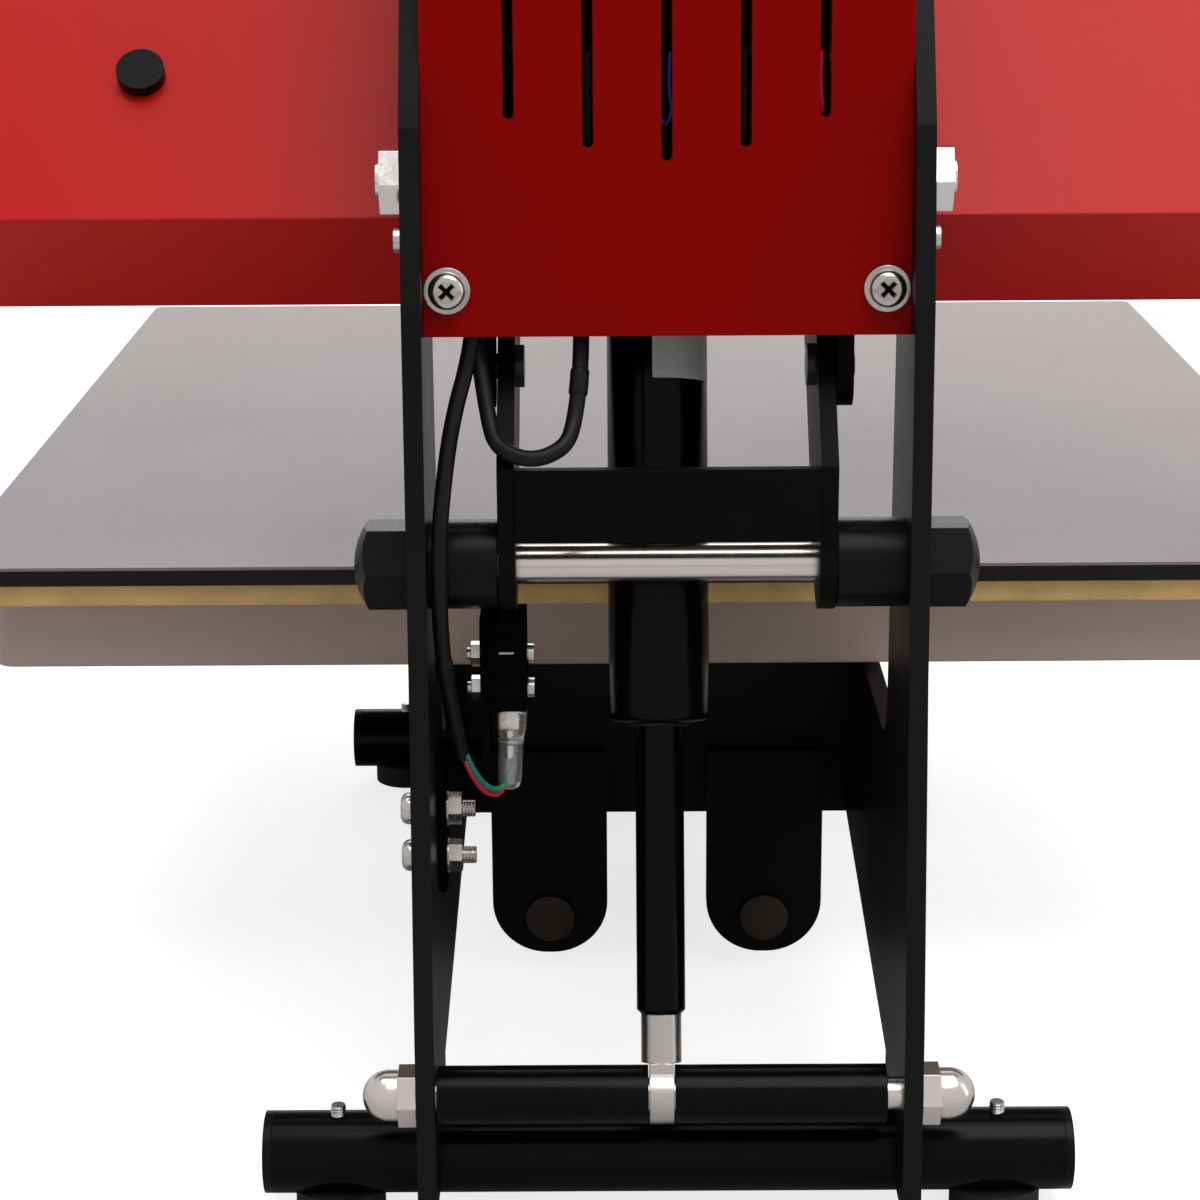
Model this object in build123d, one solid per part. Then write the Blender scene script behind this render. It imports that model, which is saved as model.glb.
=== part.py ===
from build123d import *
import os
from math import atan2, cos, degrees, hypot, radians, sin, tan

os.makedirs("parts", exist_ok=True)

# Directions: X across the press, -Y to the operator, +Z up. "Forward" distances below run towards -Y
# from the main pivot, and "up" distances run from the floor or, for the arm, from the pivot.

# Platens
platen_size = 380.0
platen_setback = 79.4
pad_top = 139.0
pad_t = 0.8
lower_plate_t = 4.2
insulation_t = 6.0
insulation_inset = 2.0
tray_t = 19.5
tray_inset = 10.5
tray_wall = 2.0
tray_corner = 5.0
platen_corner = 3.0
press_gap = 0.4
heater_t = 16.0
heater_inset = 4.0
heater_drop = 7.3
cover_rise = 40.0
cover_wall = 1.5
plug_side = 63.0
plug_in = 41.0
plug_r = 5.85
plug_h = 3.4

# Side plates and head
frame_width = 120.0
plate_t = 4.5
plate_corner = 12.0
head_gap = 8.0
pivot_up = 161.7
pivot_r = 4.5
cap_flats = 19.0
cap_h = 11.0
cap_dome = 2.3
bush_r = 10.5
run_fit = 0.05
side_gap = 0.3

# Lower cross rod
rod_back = 24.0
rod_up = 36.6
rod_r = 4.0
sleeve_r = 7.1
sleeve_len = 50.2
dome_flats = 13.0
dome_hex_h = 4.5
dome_r = 6.2
dome_body = 2.4

# Feet
foot_h = 6.8
foot_r = 11.0
foot_lift = 4.9
tube_r = 10.0
tube_wall = 2.0
tube_len = 197.0
tube_cap_t = 2.0
tube_plug = 8.0
rear_tube_back = 10.0
front_tube_fwd = 301.0
foot_in = 18.0
front_tube_shift = 4.0
stud_r = 1.7
stud_rise = 2.6
plate_floor_gap = 8.0

# Beam, lugs and support bars under the lower platen
beam_fwd = 140.0
beam_len = 190.0
beam_bottom = 47.0
beam_wall = 3.0
lug_x = 31.4
lug_w = 33.7
lug_t = 4.0
lug_end_r = 16.0
lug_overlap = 20.0
lug_under = 5.0
bar_r = 7.3
bar_up = 15.5
bar_out = 1.2

# Arm
arm_width = 78.4
arm_t = 4.0
arm_end_r = 11.0
arm_top = 48.0
arm_over = 4.0
arm_len = 308.0
arm_heel_top = 25.0
open_angle = 49.0
web_t = 3.0
web_low = (-1.3, 13.4)
web_high = (11.7, 24.7)
carrier_t = 9.0
carrier_len = 84.0
screw_r = 6.0
knob_r = 25.0
knob_h = 22.0
knob_clear = 7.0
hub_r = 22.0
hub_h = 4.0
guide_r = 4.0
guide_out = 30.0
guide_above = 6.0

# Gas spring
spring_x = 1.7
spring_pin = (66.0, 7.0)
spring_pin_r = 3.0
cylinder_r = 12.1
cylinder_wall = 2.6
cylinder_start = 88.7
cylinder_round = 2.4
cylinder_over = 7.5
gland_len = 10.0
spring_rod_r = 5.8
spring_rod_start = 19.3
spring_rod_inside = 58.0
fitting_r = 4.8
eye_r = 7.0
eye_t = 5.8
fitting_start = 7.8
slot_play = 3.6
slot_side_play = 1.2
top_eye_t = 12.0
top_eye_wall = 2.2

# Handle and toggle links
handle_fwd = 12.0
handle_up = 250.0
head_edge = [(-12.5, -26.0), (-6.0, 14.0), (6.7, 40.0), (17.0, 61.0), (34.0, 78.0), (53.0, 86.0), (72.0, 85.0)]
head_slope_top = 78.0
head_slope_mid = 64.0
head_chin = 9.0
head_chin_drop = 12.0
handle_angle = 86.0
handle_bar_t = 4.0
handle_bar_in = 45.0
handle_bar_w = 18.0
handle_len = 430.0
knuckle_r = 10.0
crank_len = 20.0
crank_angle = 59.53
crank_end_r = 7.0
link_in = 40.0
link_t = 4.0
link_pin_r = 3.0
link_w = 13.0
link_slot = 3.2
link_slot_side = 1.4
link_side = 0.5
arm_link_pin = (44.0, 16.0)
axle_r = 4.0
axle_nut_flats = 14.5
axle_nut_h = 5.6
collar_r = 7.0
grip_rod_r = 6.0
grip_r = 14.0
grip_reach = 95.0
grip_cap_t = 4.0

# Rear cover and control housing
cover_hang = 33.6
cover_head = 52.0
cover_bottom = (-3.8, handle_up - cover_hang)
cover_top = (2.5, handle_up + cover_head)
sheet_t = 1.5
cover_flange = 5.0
vent_pitch = 17.8
vent_w = 2.45
vent_top_margin = 6.0
vent_bottoms = [49.0, 42.5, 39.5, 42.5, 49.0]
pan_x = 50.0
pan_in = 10.6
washer_r = 5.3
washer_t = 1.0
pan_r = 4.2
pan_h = 2.8
cross_w = 1.1
cross_len = 4.4
pan_shank_r = 2.0
tab_size = 8.0
tab_depth = 6.0
housing_half = 42.5
housing_floor = 29.0
housing_arm_gap = 1.786
panel_arm_gap = 1.382
housing_back_fwd = 8.0
housing_back_rise = 66.0
housing_crown_share = 1 / 6
housing_crown_rise = 84.0
housing_brow_share = 0.375
housing_brow_rise = 95.5
panel_share = 0.5
panel_back_rise = 98.0
panel_front_rise = 83.0
housing_chin = 4.0
housing_wall = 2.0
display_w = 52.0
display_d = 17.0
display_t = 1.2
button_r = 3.6
button_h = 2.2
button_pitch = 14.0
button_travel = 0.8
rocker_w = 8.0
rocker_l = 13.0
gland_r = 6.5
gland_h = 12.0
gland_bore_r = 3.2

# Switch group, on the left plate
switch_x = 37.95
switch_lever_gap = 1.2
switch_w = 9.0
switch_h = 22.2
switch_d = 16.0
switch_base = 124.4
switch_fwd = 10.0
switch_screw_r = 1.5
switch_screw_low = 3.5
switch_screw_high = 12.1
lever_t = 0.8
bracket_t = 2.0
bracket_w = 14.0
bracket_low = 78.0
bracket_shelf = 110.0
strip_t = 2.0
strip_w = 12.0
strip_low = 62.0
strip_high = 102.0
m4_low = 84.8
m4_high = 97.0
m4_r = 2.0
m4_head_r = 3.9
m4_head_h = 2.7
sleeve_clear_r = 3.7
sleeve_clear_len = 22.0
cable_r = 1.9
wire_r = 0.7

# Derived places
plug_x = platen_size / 2 - plug_side
foot_x = tube_len / 2 - foot_in
rear_reach = 32.4
platen_front = platen_setback + platen_size
pivot_y = (platen_front - rear_reach) / 2
half_frame = frame_width / 2
inner_face = half_frame - plate_t
half_arm = arm_width / 2
tube_up = foot_lift + tube_r
insulation_top = pad_top - pad_t - lower_plate_t
tray_top = insulation_top - insulation_t
tray_bottom = tray_top - tray_t
cover_low = pad_top - pivot_up + press_gap + heater_drop
cover_high = cover_low + cover_rise
platen_mid = platen_setback + platen_size / 2
arm_low = cover_high + arm_over
carrier_low = arm_low + arm_over


def side(x, fwd=0.0, up=0.0, y=pivot_y):
    return Plane(origin=(x, y - fwd, up), x_dir=(0, -1, 0), z_dir=(-1, 0, 0))


def prism(points, x_high, width, y=pivot_y):
    return extrude(side(x_high, y=y) * make_face(Polyline(*points, close=True)), amount=width)


def rod_x(r, x_low, x_high, fwd, up, y=pivot_y):
    return Pos((x_low + x_high) / 2, y - fwd, up) * Rot(0, 90, 0) * Cylinder(r, x_high - x_low)


def hex_x(flats, x_low, x_high, fwd, up, y=pivot_y):
    face = RegularPolygon(flats / 2, 6, major_radius=False)
    return extrude(side(x_high, fwd, up, y) * face, amount=x_high - x_low)


def slab(w, d, h, fwd, up, corner, y=pivot_y):
    sketch = RectangleRounded(w, d, corner)
    return Pos(0, y - fwd, up) * extrude(sketch, amount=h)


def both(shape):
    return [shape, mirror(shape, about=Plane.YZ)]


def save(name, shape, color):
    solids = shape if isinstance(shape, list) else [shape]
    pieces = [s for item in solids for s in item.solids()]
    whole = pieces[0] if len(pieces) == 1 else Compound(children=pieces)
    whole.label = name
    whole.color = Color(*color)
    export_step(whole, f"parts/{name}.step")


black = (0.05, 0.05, 0.05)
red = (0.7, 0.02, 0.02)
steel = (0.75, 0.75, 0.76)

# Side plates: the outline runs up the rear edge, over the head and down the front.
slope = (cos(radians(open_angle)), sin(radians(open_angle)))
top_corner = (
    platen_setback * slope[0] - cover_high * slope[1],
    pivot_up + platen_setback * slope[1] + cover_high * slope[0],
)


def behind_cover(up, gap):
    return top_corner[0] + (up - top_corner[1]) * slope[0] / slope[1] - gap / slope[1]


plate_front = 30.0
head_low = handle_up - head_chin
slope_top = handle_up + head_slope_top
slope_mid = handle_up + head_slope_mid
plate_toe = beam_fwd + 10.0
plate_toe_top = tray_bottom - 2.0
plate_points = [
    (-rear_reach, plate_floor_gap),
    (-30.0, 54.0),
    (-18.0, 139.0),
    (-15.0, 183.0),
    *[(fwd, handle_up + rise) for fwd, rise in head_edge],
    (behind_cover(slope_top, head_gap) - 6.0, slope_top),
    (behind_cover(slope_mid, head_gap), slope_mid),
    (behind_cover(head_low, head_gap), head_low),
    (plate_front - 2.0, head_low - head_chin_drop),
    (plate_front, plate_toe_top),
    (plate_toe, plate_toe_top),
    (plate_toe, beam_bottom),
    (beam_fwd, beam_bottom),
    (14.0, 30.0),
    (14.0, plate_floor_gap),
]
plate = prism(plate_points, half_frame, plate_t)
crook = plate.edges().filter_by(Axis.X).sort_by_distance((half_frame, pivot_y - plate_front, plate_toe_top))[0]
plate = fillet(crook, plate_corner)
plate -= rod_x(tube_r + run_fit, 0, half_frame + 1, -rear_tube_back, tube_up)
plate -= rod_x(rod_r + run_fit, 0, half_frame + 1, -rod_back, rod_up)
plate -= rod_x(pivot_r + run_fit, 0, half_frame + 1, 0, pivot_up)
plate -= rod_x(axle_r + run_fit, 0, half_frame + 1, handle_fwd, handle_up)
side_screw_r = 1.5
side_screw_fwd = 0.0
side_screw_up = handle_up - 12.0
plate -= rod_x(side_screw_r, 0, half_frame + 1, side_screw_fwd, side_screw_up)
right_plate = mirror(plate, about=Plane.YZ)
for up in (m4_low, m4_high):
    plate -= rod_x(m4_r + run_fit, 0, half_frame + 1, switch_fwd, up)
save("side_plate_left", plate, black)
save("side_plate_right", right_plate, black)
screw = rod_x(side_screw_r, inner_face, half_frame + 0.5, side_screw_fwd, side_screw_up)
screw += rod_x(2.7, half_frame, half_frame + 2.0, side_screw_fwd, side_screw_up)
side_screws = both(screw)

# Foot tubes with end plugs, rubber feet and studs
stud_top = tube_up + tube_r + stud_rise
tube_places = [(-rear_tube_back, 0.0), (front_tube_fwd, front_tube_shift)]
for name, (fwd, shift) in zip(("foot_tube_rear", "foot_tube_front"), tube_places):
    half_tube = tube_len / 2 - tube_cap_t
    tube = rod_x(tube_r, -half_tube, half_tube, fwd, tube_up)
    tube -= rod_x(tube_r - tube_wall, -half_tube - 1, half_tube + 1, fwd, tube_up)
    for x in (-foot_x, foot_x):
        tube -= Pos(x, pivot_y - fwd, tube_up) * Cylinder(stud_r + run_fit, 4 * tube_r)
    save(name, Pos(shift, 0, 0) * tube, black)
caps = []
feet = []
studs = []
for fwd, shift in tube_places:
    shifted = Pos(shift, 0, 0)
    end = tube_len / 2
    cap = rod_x(tube_r, end - tube_cap_t, end, fwd, tube_up)
    cap += rod_x(tube_r - tube_wall - run_fit, end - tube_cap_t - tube_plug, end, fwd, tube_up)
    caps += [shifted * s for s in both(cap)]
    foot = Pos(foot_x, pivot_y - fwd, foot_h / 2) * Cylinder(foot_r, foot_h)
    foot -= rod_x(tube_r + run_fit, -end, end, fwd, tube_up)
    foot -= Pos(foot_x, pivot_y - fwd, foot_h) * Cylinder(stud_r + run_fit, foot_h)
    feet += [shifted * s for s in both(foot)]
    stud = Cylinder(stud_r, stud_top - foot_h / 2, align=(Align.CENTER, Align.CENTER, Align.MIN))
    studs += [shifted * s for s in both(Pos(foot_x, pivot_y - fwd, foot_h / 2) * stud)]
save("tube_caps", caps, black)
save("rubber_feet", feet, black)
save("foot_studs", studs, steel)

# Beam with its two lugs, and the bars that run to the front foot tube
beam = Pos(0, pivot_y - beam_fwd - beam_len / 2, (beam_bottom + tray_bottom) / 2) * Box(
    2 * inner_face, beam_len, tray_bottom - beam_bottom
)
beam -= Pos(0, pivot_y - beam_fwd - beam_len / 2 - beam_wall, (beam_bottom + tray_bottom) / 2) * Box(
    2 * (inner_face - beam_wall), beam_len, tray_bottom - beam_bottom - 2 * beam_wall
)
lug_low = bar_up - lug_end_r + lug_under
lug_high = beam_bottom + lug_overlap
lug = Pos(lug_x, pivot_y - beam_fwd + lug_t / 2, (lug_low + lug_high) / 2) * Box(lug_w, lug_t, lug_high - lug_low)
low_corners = lug.edges().filter_by(Axis.Y).group_by(Axis.Z)[0]
lug = fillet(low_corners, lug_end_r)
lug -= Pos(lug_x, pivot_y - beam_fwd, bar_up) * Rot(90, 0, 0) * Cylinder(bar_r + run_fit, 4 * lug_t)
lug_left, lug_right = both(lug)
save("beam", beam + lug_left + lug_right, black)
bar_back = beam_fwd - lug_t - bar_out
bar = Pos(lug_x, pivot_y - (bar_back + front_tube_fwd) / 2, bar_up) * Rot(90, 0, 0) * Cylinder(
    bar_r, front_tube_fwd - bar_back
)
bar -= rod_x(tube_r + run_fit, 0, inner_face, front_tube_fwd, tube_up)
bar = bar.solids().sort_by(Axis.Y)[-1]
save("support_bars", both(bar), black)

# Main pivot: chrome shaft, bushes and cap nuts
shaft_end = half_frame + cap_h * 0.7
save("pivot_shaft", rod_x(pivot_r, -shaft_end, shaft_end, 0, pivot_up), steel)
bush = rod_x(bush_r, half_arm + side_gap, inner_face, 0, pivot_up)
bush -= rod_x(pivot_r + run_fit, 0, half_frame, 0, pivot_up)
save("pivot_bushes", both(bush), black)
cap_nut = hex_x(cap_flats, half_frame, half_frame + cap_h + cap_dome, 0, pivot_up)
cap_corner = cap_flats / 2 / cos(radians(30))
cap_drop = 1.6 * cap_dome
dome_ball = (cap_corner**2 + cap_drop**2) / (2 * cap_drop)
cap_nut &= Pos(half_frame + cap_h + cap_dome - dome_ball, pivot_y, pivot_up) * Sphere(dome_ball)
cap_nut -= rod_x(pivot_r + run_fit, half_frame - 1, shaft_end + run_fit, 0, pivot_up)
save("pivot_cap_nuts", both(cap_nut), black)

# Lower cross rod with sleeves and dome nuts
rod_end = half_frame + dome_hex_h
save("lower_rod", rod_x(rod_r, -rod_end, rod_end, -rod_back, rod_up), steel)
eye_half = eye_t / 2 + side_gap
sleeves = []
for start in (spring_x + eye_half, spring_x - eye_half - sleeve_len):
    sleeve = rod_x(sleeve_r, start, start + sleeve_len, -rod_back, rod_up)
    sleeve -= rod_x(rod_r + run_fit, start - 1, start + sleeve_len + 1, -rod_back, rod_up)
    sleeves.append(sleeve)
save("rod_sleeves", sleeves, black)
dome_nut = hex_x(dome_flats, half_frame, half_frame + dome_hex_h, -rod_back, rod_up)
dome_x = half_frame + dome_hex_h + dome_body
round_end = Pos(dome_x, pivot_y + rod_back, rod_up) * Sphere(dome_r)
round_end &= rod_x(dome_r, dome_x, dome_x + dome_r, -rod_back, rod_up)
dome_nut += round_end + rod_x(dome_r, dome_x - dome_body, dome_x, -rod_back, rod_up)
dome_nut -= rod_x(rod_r + run_fit, half_frame - 1, rod_end + run_fit, -rod_back, rod_up)
save("rod_dome_nuts", both(dome_nut), steel)

# Lower platen
tray_size = platen_size - 2 * tray_inset
insulation_size = platen_size - 2 * insulation_inset
tray = slab(tray_size, tray_size, tray_t, platen_mid, tray_bottom, tray_corner)
tray_inner = tray_size - 2 * tray_wall
tray -= slab(tray_inner, tray_inner, tray_t, platen_mid, tray_bottom + tray_wall, tray_corner - tray_wall)
save("lower_tray", tray, steel)
yellow = (0.85, 0.75, 0.4)
save("lower_insulation", slab(insulation_size, insulation_size, insulation_t, platen_mid, tray_top, platen_corner), yellow)
save("lower_plate", slab(platen_size, platen_size, lower_plate_t, platen_mid, insulation_top, platen_corner), black)
save("silicone_pad", slab(platen_size, platen_size, pad_t, platen_mid, pad_top - pad_t, platen_corner), (0.6, 0.55, 0.56))

# Arm and upper platen are drawn closed about the pivot, then swung open.
opened = Pos(0, pivot_y, pivot_up) * Rot(-open_angle, 0, 0)
heel = platen_setback - arm_over + 1.0
arm_points = [
    (0.0, -arm_end_r),
    (heel - 10.0, -arm_end_r),
    (heel, -arm_end_r + 9.0),
    (heel, arm_low),
    (arm_len, arm_low),
    (arm_len, arm_top),
    (90.0, arm_top),
    (70.0, arm_top - 12.0),
    (50.0, arm_heel_top),
    (12.0, arm_heel_top),
    (-arm_end_r, 3.0),
    (-arm_end_r, 0.0),
]
arm_plate = prism(arm_points, half_arm, arm_t, y=0)
arm_plate += rod_x(arm_end_r, half_arm - arm_t, half_arm, 0, 0, y=0)
arm_plate -= rod_x(pivot_r + run_fit, 0, half_arm + 1, 0, 0, y=0)
arm_plate -= rod_x(spring_pin_r + run_fit, 0, half_arm + 1, *spring_pin, y=0)
arm_plate -= rod_x(link_pin_r + run_fit, 0, half_arm + 1, *arm_link_pin, y=0)
save("arm_plate_left", opened * arm_plate, black)
save("arm_plate_right", opened * mirror(arm_plate, about=Plane.YZ), black)

arm_inner = half_arm - arm_t
run = hypot(web_high[0] - web_low[0], web_high[1] - web_low[1])
inward = ((web_high[1] - web_low[1]) / run * web_t, -(web_high[0] - web_low[0]) / run * web_t)
web_points = [
    web_low,
    web_high,
    (web_high[0] + inward[0], web_high[1] + inward[1]),
    (web_low[0] + inward[0], web_low[1] + inward[1]),
]
save("arm_web", opened * prism(web_points, arm_inner, 2 * arm_inner, y=0), black)
cross_pin = rod_x(spring_pin_r, -half_arm, half_arm, *spring_pin, y=0)
pin_end = link_in + link_t + link_side
link_pin_arm = rod_x(link_pin_r, arm_inner, pin_end, *arm_link_pin, y=0)
link_pin_arm += rod_x(link_pin_r + 2.0, arm_inner - 2.0, arm_inner, *arm_link_pin, y=0)
save("arm_pins", [opened * s for s in [cross_pin] + both(link_pin_arm)], steel)

carrier = Pos(0, -platen_mid, carrier_low + carrier_t / 2) * Box(2 * arm_inner, carrier_len, carrier_t)
carrier -= Pos(0, -platen_mid, carrier_low) * Cylinder(screw_r + run_fit, 4 * carrier_t)
for step in (-guide_out, guide_out):
    carrier -= Pos(0, -platen_mid + step, carrier_low) * Cylinder(guide_r + run_fit, 4 * carrier_t)
save("platen_carrier", opened * carrier, black)

# Upper platen: cover shell, insulation and heater block
shell = slab(platen_size, platen_size, cover_rise, platen_mid, cover_low, platen_corner, y=0)
shell -= slab(
    platen_size - 2 * cover_wall,
    platen_size - 2 * cover_wall,
    cover_rise - cover_wall,
    platen_mid,
    cover_low,
    platen_corner / 2,
    y=0,
)
plug_at = Pos(plug_x, -platen_setback - plug_in, cover_high)
shell -= plug_at * Cylinder(plug_r * 0.7, 4 * cover_wall)
save("platen_cover", opened * shell, red)
plug = plug_at * Pos(0, 0, plug_h / 2) * Cylinder(plug_r, plug_h)
plug += plug_at * Pos(0, 0, -cover_wall / 2) * Cylinder(plug_r * 0.7 - run_fit, cover_wall)
save("hole_plugs", opened * plug, black)
heater_size = platen_size - 2 * (cover_wall + heater_inset)
heater_low = cover_low - heater_drop
save("heater_block", opened * slab(heater_size, heater_size, heater_t, platen_mid, heater_low, platen_corner, y=0), steel)
inner_size = platen_size - 2 * cover_wall - 2 * run_fit
heater_top = heater_low + heater_t
fill_t = cover_high - cover_wall - heater_top
save("upper_insulation", opened * slab(inner_size, inner_size, fill_t, platen_mid, heater_top, platen_corner / 2, y=0), yellow)

# Platen hub, guide pins, pressure screw and knob
carrier_top = carrier_low + carrier_t
hub = Pos(0, -platen_mid, cover_high + hub_h / 2) * Cylinder(hub_r, hub_h)
hub -= Pos(0, -platen_mid, cover_high + hub_h) * Cylinder(screw_r + run_fit, hub_h)
guide_len = carrier_top + guide_above - cover_high
foot_plate = Box(4 * guide_r, 2 * guide_out + 4 * guide_r, hub_h / 2)
foot_plate -= Cylinder(hub_r, hub_h)
hub += Pos(0, -platen_mid, cover_high + hub_h / 4) * foot_plate
for step in (-guide_out, guide_out):
    hub += Pos(0, -platen_mid + step, cover_high + guide_len / 2) * Cylinder(guide_r, guide_len)
save("platen_hub", opened * hub, steel)
knob_low = carrier_top + knob_clear
screw_low = cover_high + hub_h / 2 + run_fit
screw_len = knob_low + knob_h / 2 - screw_low
pressure_screw = Pos(0, -platen_mid, screw_low + screw_len / 2) * Cylinder(screw_r, screw_len)
save("pressure_screw", opened * pressure_screw, steel)
knob = Pos(0, -platen_mid, knob_low + knob_h / 2) * Cylinder(knob_r, knob_h)
knob = fillet(knob.edges().filter_by(GeomType.CIRCLE).group_by(Axis.Z)[-1], knob_h * 0.15)
for i in range(12):
    turn = radians(30 * i)
    x = knob_r * 1.04 * cos(turn)
    y = knob_r * 1.04 * sin(turn)
    knob -= Pos(x, y - platen_mid, knob_low) * Cylinder(knob_r * 0.1, 3 * knob_h)
knob -= Pos(0, -platen_mid, knob_low) * Cylinder(screw_r + run_fit, knob_h + run_fit)
save("pressure_knob", opened * knob, black)

# Gas spring, drawn upright at its lower eye, then leaned to the arm's pin
top_fwd = spring_pin[0] * slope[0] - spring_pin[1] * slope[1]
top_up = pivot_up + spring_pin[0] * slope[1] + spring_pin[1] * slope[0]
spring_len = hypot(top_fwd + rod_back, top_up - rod_up)
spring_lean = degrees(atan2(top_fwd + rod_back, top_up - rod_up))
sprung = Pos(spring_x, pivot_y + rod_back, rod_up) * Rot(spring_lean, 0, 0)
upright = (Align.CENTER, Align.CENTER, Align.MIN)
eye = Rot(0, 90, 0) * Cylinder(eye_r, eye_t)
eye += Box(eye_t, 2 * fitting_r, fitting_start, align=upright)
eye += Pos(0, 0, fitting_start) * Cylinder(fitting_r, spring_rod_start - fitting_start, align=upright)
eye -= Rot(0, 90, 0) * Cylinder(rod_r + run_fit, 2 * eye_t)
save("spring_eye", sprung * eye, steel)
rod_top = cylinder_start + spring_rod_inside
spring_rod = Pos(0, 0, spring_rod_start) * Cylinder(spring_rod_r, rod_top - spring_rod_start, align=upright)
spring_rod = chamfer(spring_rod.edges().group_by(Axis.Z)[0], 1.0)
save("spring_rod", sprung * spring_rod, black)
slot_half = spring_pin_r + slot_side_play
cylinder_end = spring_len - slot_play - slot_half - top_eye_wall + cylinder_over
cylinder = Pos(0, 0, cylinder_start) * Cylinder(cylinder_r, cylinder_end - cylinder_start, align=upright)
cylinder = fillet(cylinder.edges().filter_by(GeomType.CIRCLE), cylinder_round)
bore_len = cylinder_end - cylinder_over - 2 * top_eye_wall - cylinder_start - gland_len
cylinder -= Pos(0, 0, cylinder_start + gland_len) * Cylinder(cylinder_r - cylinder_wall, bore_len, align=upright)
cylinder -= Pos(0, 0, cylinder_start - 1) * Cylinder(spring_rod_r + run_fit, gland_len + 2, align=upright)
top_eye_half = slot_half + top_eye_wall
top_eye = Pos(0, 0, cylinder_end) * Box(
    top_eye_t, 2 * top_eye_half, spring_len + slot_play - cylinder_end, align=upright
)
top_eye += Pos(0, 0, spring_len + slot_play) * Rot(0, 90, 0) * Cylinder(top_eye_half, top_eye_t)
cylinder += top_eye
cylinder -= Pos(0, 0, spring_len) * Box(4 * cylinder_r, 2 * slot_half, 2 * slot_play)
for end in (-slot_play, slot_play):
    cylinder -= Pos(0, 0, spring_len + end) * Rot(0, 90, 0) * Cylinder(slot_half, 4 * cylinder_r)
save("spring_cylinder", sprung * cylinder, black)

# Handle: two bars on stub axles, drawn pointing forward, then raised
raised = Pos(0, pivot_y - handle_fwd, handle_up) * Rot(-handle_angle, 0, 0)
bar_out_x = handle_bar_in + handle_bar_t
half_bar = handle_bar_w / 2
crank_local = radians(crank_angle - handle_angle)
crank_fwd = crank_len * cos(crank_local)
crank_up = crank_len * sin(crank_local)
grip_boss_r = grip_rod_r + 5.0
handle_bar = prism(
    [(0, -half_bar), (handle_len, -half_bar), (handle_len, half_bar), (0, half_bar)], bar_out_x, handle_bar_t, y=0
)
handle_bar += rod_x(knuckle_r, handle_bar_in, bar_out_x, 0, 0, y=0)
handle_bar += rod_x(crank_end_r, handle_bar_in, bar_out_x, crank_fwd, crank_up, y=0)
handle_bar += rod_x(grip_boss_r, handle_bar_in, bar_out_x, handle_len, 0, y=0)
handle_bar -= rod_x(axle_r + run_fit, 0, half_frame, 0, 0, y=0)
handle_bar -= rod_x(link_pin_r + run_fit, 0, half_frame, crank_fwd, crank_up, y=0)
handle_bar -= rod_x(grip_rod_r + run_fit, 0, half_frame, handle_len, 0, y=0)
save("handle_bar_left", raised * handle_bar, black)
save("handle_bar_right", raised * mirror(handle_bar, about=Plane.YZ), black)
crank_pin = rod_x(link_pin_r, link_in - link_side, bar_out_x, crank_fwd, crank_up, y=0)
grip_rod = rod_x(grip_rod_r, -grip_reach, grip_reach, handle_len, 0, y=0)
save("handle_pins", [raised * s for s in [grip_rod] + both(crank_pin)], steel)
grip_mid = rod_x(grip_r, -handle_bar_in + side_gap, handle_bar_in - side_gap, handle_len, 0, y=0)
grip_mid -= rod_x(grip_rod_r + run_fit, -grip_reach, grip_reach, handle_len, 0, y=0)
grip_end = rod_x(grip_r, bar_out_x + side_gap, grip_reach - grip_cap_t, handle_len, 0, y=0)
grip_end -= rod_x(grip_rod_r + run_fit, 0, grip_reach, handle_len, 0, y=0)
save("handle_grips", [raised * s for s in [grip_mid] + both(grip_end)], black)
grip_cap = rod_x(grip_r, grip_reach - grip_cap_t, grip_reach + grip_cap_t / 2, handle_len, 0, y=0)
grip_cap -= rod_x(grip_rod_r + run_fit, 0, grip_reach + run_fit, handle_len, 0, y=0)
save("grip_caps", [raised * s for s in both(grip_cap)], black)

axle = rod_x(axle_r, handle_bar_in - link_side + 0.1, half_frame + axle_nut_h + 1.0, handle_fwd, handle_up)
axle += rod_x(collar_r, bar_out_x + side_gap, inner_face, handle_fwd, handle_up)
axle_nut = hex_x(axle_nut_flats, half_frame, half_frame + axle_nut_h, handle_fwd, handle_up)
axle_nut -= rod_x(axle_r + run_fit, 0, 2 * half_frame, handle_fwd, handle_up)
save("handle_axles", both(axle) + both(axle_nut), steel)

# Toggle links, drawn pointing forward from the crank pin, then turned down to the arm's pin
crank_at = (
    handle_fwd + crank_len * cos(radians(crank_angle)),
    handle_up + crank_len * sin(radians(crank_angle)),
)
arm_pin_at = (
    arm_link_pin[0] * slope[0] - arm_link_pin[1] * slope[1],
    pivot_up + arm_link_pin[0] * slope[1] + arm_link_pin[1] * slope[0],
)
link_len = hypot(arm_pin_at[0] - crank_at[0], arm_pin_at[1] - crank_at[1])
link_angle = degrees(atan2(arm_pin_at[1] - crank_at[1], arm_pin_at[0] - crank_at[0]))
linked = Pos(0, pivot_y - crank_at[0], crank_at[1]) * Rot(-link_angle, 0, 0)
half_link = link_w / 2
link_out = link_in + link_t
link_tip = link_len + link_slot
link = prism([(0, -half_link), (link_tip, -half_link), (link_tip, half_link), (0, half_link)], link_out, link_t, y=0)
link += rod_x(half_link, link_in, link_out, 0, 0, y=0)
link += rod_x(half_link, link_in, link_out, link_tip, 0, y=0)
link -= rod_x(link_pin_r + run_fit, 0, half_frame, 0, 0, y=0)
slot_r = link_pin_r + link_slot_side
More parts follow.
